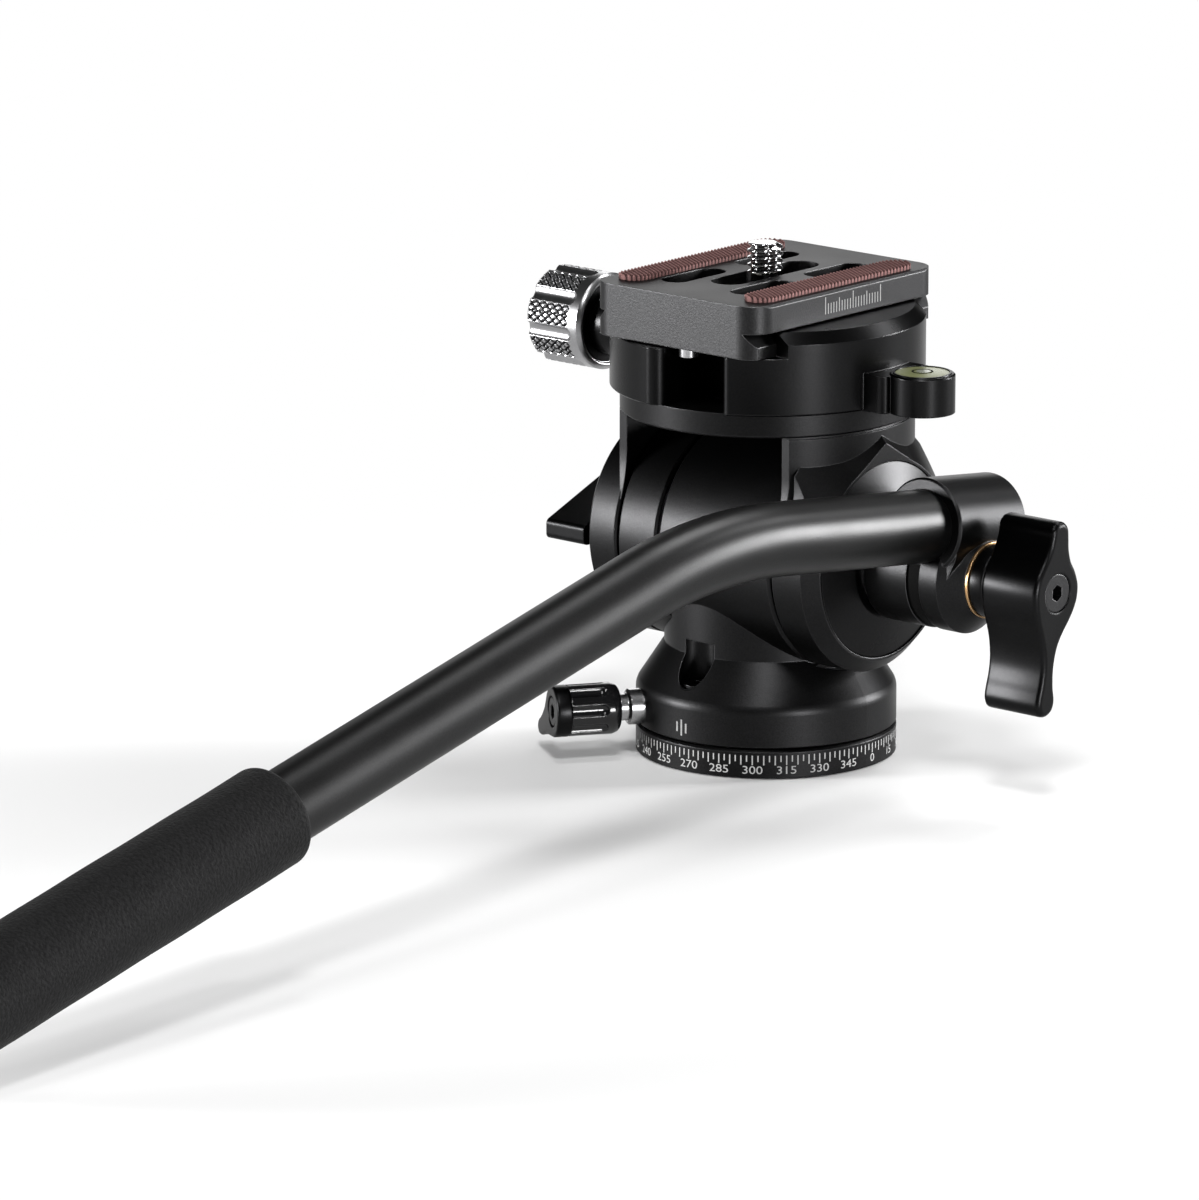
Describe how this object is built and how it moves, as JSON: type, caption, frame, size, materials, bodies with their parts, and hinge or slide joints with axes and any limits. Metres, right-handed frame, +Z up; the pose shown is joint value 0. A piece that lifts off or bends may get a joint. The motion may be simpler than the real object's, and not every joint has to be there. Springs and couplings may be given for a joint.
{
  "type": "fluid video head",
  "caption": "Two-way fluid video head: graduated pan base, tilt drum in a yoke, quick-release plate clamp with bubble level, and a bent pan bar with a foam grip.",
  "frame": {"origin": "centre of the tripod thread in the underside of the base", "axes": "+Z up, -Y towards the operator and along the pan bar, +X along the tilt axis to the pan bar side"},
  "size_m": [0.1146, 0.2822, 0.0913],
  "materials": {
    "black_anodised": "satin",
    "black_plastic": "matte",
    "steel": "satin",
    "bright_aluminium": "satin",
    "bronze": "satin",
    "brass": "polished",
    "slip_washer": "matte",
    "pad_rubber": "matte",
    "ring_rubber": "matte",
    "grip_foam": "matte",
    "vial_liquid": "gloss"
  },
  "bodies": {
    "base": {"base": "black_anodised", "pan_bolt": "steel", "pan_retainer": "steel", "pan_bearing": "slip_washer"},
    "pan_body": {"pan_ring": "black_anodised", "pan_bush": "bronze", "drum_body": "black_anodised", "foot_screws": "steel", "drum_ring": "black_anodised", "tilt_bushes": "bronze", "drag_stators": "steel", "pan_lock_collar": "bright_aluminium"},
    "pan_lock": {"pan_shoe": "bronze", "pan_lock_screw": "steel", "pan_lock_knob": "black_plastic"},
    "yoke": {"tilt_shaft": "steel", "drag_rotors": "bronze", "platform": "black_anodised", "cheek_left": "black_anodised", "cheek_right": "black_anodised", "cheek_screws": "steel", "end_cap": "black_anodised", "rosette": "steel", "clamp_base": "black_anodised", "clamp_bolts": "steel", "guide_pins": "steel", "level_vial": "vial_liquid"},
    "tilt_lock": {"tilt_lock_screw": "steel", "tilt_lock_lever": "black_plastic"},
    "jaw": {"clamp_jaw": "black_anodised"},
    "clamp_knob": {"clamp_screw": "steel", "clamp_knob": "bright_aluminium"},
    "plate": {"plate": "black_anodised", "plate_pads": "pad_rubber", "stop_screws": "steel"},
    "screw_carrier": {"screw_washer": "slip_washer"},
    "camera_screw": {"camera_screw": "steel"},
    "handle": {"handle_clamp": "black_anodised", "friction_ring": "ring_rubber", "handle_bar": "black_anodised", "grip": "grip_foam", "grip_cap": "black_plastic", "knob_washer": "brass"},
    "wing": {"wing_screw": "steel", "wing_knob": "black_plastic"}
  },
  "joints": [
    {"name": "pan", "type": "hinge", "parent": "base", "child": "pan_body", "pos_m": [0, 0, 0.01], "axis": [0, 0, 1], "continuous": true},
    {"name": "pan_lock_turn", "type": "hinge", "parent": "pan_body", "child": "pan_lock", "pos_m": [-0.01699, -0.02472, 0.0087], "axis": [0.5664, 0.8241, 0], "range_deg": [0, 90]},
    {"name": "tilt", "type": "hinge", "parent": "pan_body", "child": "yoke", "pos_m": [0, 0, 0.0382], "axis": [1, 0, 0], "range_deg": [-75, 85]},
    {"name": "tilt_lock_turn", "type": "hinge", "parent": "yoke", "child": "tilt_lock", "pos_m": [0, 0, 0.0382], "axis": [1, 0, 0], "range_deg": [0, 90]},
    {"name": "jaw_slide", "type": "slide", "parent": "yoke", "child": "jaw", "axis": [-1, 0, 0], "range_m": [0, 0.004]},
    {"name": "clamp_knob_turn", "type": "hinge", "parent": "jaw", "child": "clamp_knob", "pos_m": [-0.04, 0, 0.0718], "axis": [-1, 0, 0], "range_deg": [0, 1440]},
    {"name": "plate_slide", "type": "slide", "parent": "yoke", "child": "plate", "axis": [0, -1, 0], "range_m": [-0.005, 0.005]},
    {"name": "screw_slide", "type": "slide", "parent": "plate", "child": "screw_carrier", "axis": [0, -1, 0], "range_m": [-0.009, 0.009]},
    {"name": "camera_screw_turn", "type": "hinge", "parent": "screw_carrier", "child": "camera_screw", "pos_m": [-0.0004, -0.00035, 0.08], "axis": [0, 0, 1], "continuous": true},
    {"name": "handle_angle", "type": "hinge", "parent": "yoke", "child": "handle", "pos_m": [0, 0, 0.0382], "axis": [1, 0, 0], "range_deg": [-35, 60]},
    {"name": "wing_turn", "type": "hinge", "parent": "handle", "child": "wing", "pos_m": [0, 0, 0.0382], "axis": [1, 0, 0], "range_deg": [0, 360]}
  ],
  "couplings": [
    {"joint": "clamp_knob_turn", "follows": "jaw_slide", "rad_per_m": 6283.2}
  ]
}
